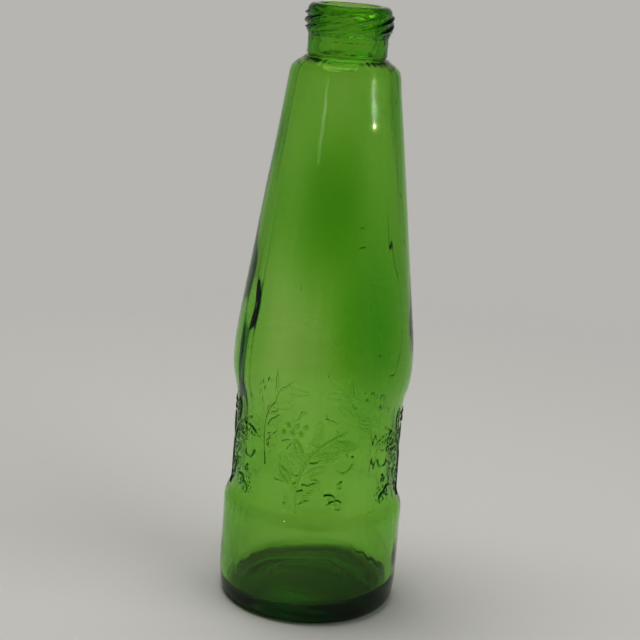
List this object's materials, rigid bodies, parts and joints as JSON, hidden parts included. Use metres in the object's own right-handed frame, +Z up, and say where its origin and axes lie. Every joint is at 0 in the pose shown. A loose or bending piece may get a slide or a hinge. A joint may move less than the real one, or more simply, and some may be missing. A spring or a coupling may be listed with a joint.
{
  "type": "glass soda bottle",
  "caption": "Tapering green glass soda bottle with an open twist-off finish, a bulge above a waist in leaf relief, and a pushed-up knurled base.",
  "frame": {"origin": "middle of the bearing ring's plane, on the bottle's axis", "axes": "+Z up the bottle's axis to the mouth, -Y to the front, which is the first relief panel, +X to the right of it"},
  "size_m": [0.0568, 0.0568, 0.1874],
  "materials": {
    "green_glass": "machine-made soda-lime glass, coloured with chromium, glossy"
  },
  "bodies": {
    "root": {"bearing_ring": "green_glass", "heel": "green_glass", "base_floor": "green_glass", "lower_body": "green_glass", "waist": "green_glass", "bulge": "green_glass", "upper_body": "green_glass", "shoulder": "green_glass", "neck": "green_glass", "finish_wall": "green_glass", "sealing_lip": "green_glass", "baffle_ring": "green_glass", "neck_ring_seam": "green_glass", "thread_start_1": "green_glass", "thread_start_2": "green_glass", "thread_start_3": "green_glass", "thread_start_4": "green_glass", "thread_start_5": "green_glass", "thread_start_6": "green_glass", "thread_start_7": "green_glass", "thread_start_8": "green_glass", "relief_front": "green_glass", "relief_right": "green_glass", "relief_back_right": "green_glass", "relief_back_left": "green_glass", "relief_left": "green_glass", "seam_left_upper": "green_glass", "seam_left_lower": "green_glass", "seam_right_upper": "green_glass", "seam_right_lower": "green_glass"}
  },
  "joints": []
}
